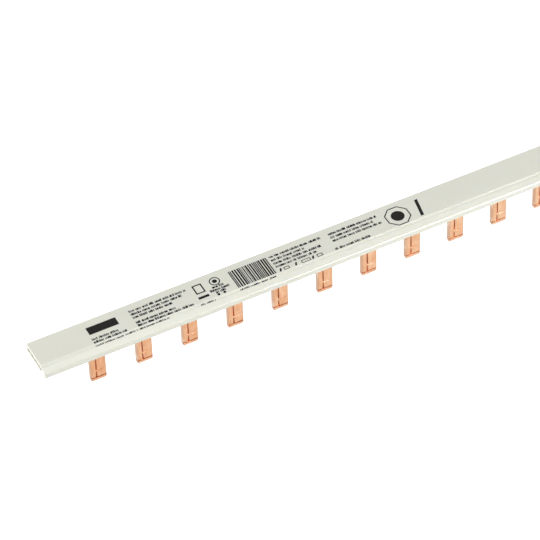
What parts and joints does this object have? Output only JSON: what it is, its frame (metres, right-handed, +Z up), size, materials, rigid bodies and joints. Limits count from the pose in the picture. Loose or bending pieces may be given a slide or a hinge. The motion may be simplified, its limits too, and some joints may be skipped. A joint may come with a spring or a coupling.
{
  "type": "comb busbar",
  "caption": "Single-pole comb busbar: a flat insulating housing with a sloping front edge over a row of folded copper pins that join breakers standing side by side.",
  "frame": {"origin": "middle of the row of pins, halfway through their thickness, level with the underside of the housing", "axes": "+X along the bar, +Y to the back edge of the flat housing, +Z up, away from the tips of the pins"},
  "size_m": [0.2364, 0.0154, 0.0158],
  "materials": {
    "housing": "satin extruded plastic, light grey with a warm tint",
    "comb": "bare rolled copper, lightly scratched",
    "print": "thin matt dark grey printing ink"
  },
  "bodies": {
    "root": {"housing": "housing", "comb": "comb"}
  },
  "joints": []
}
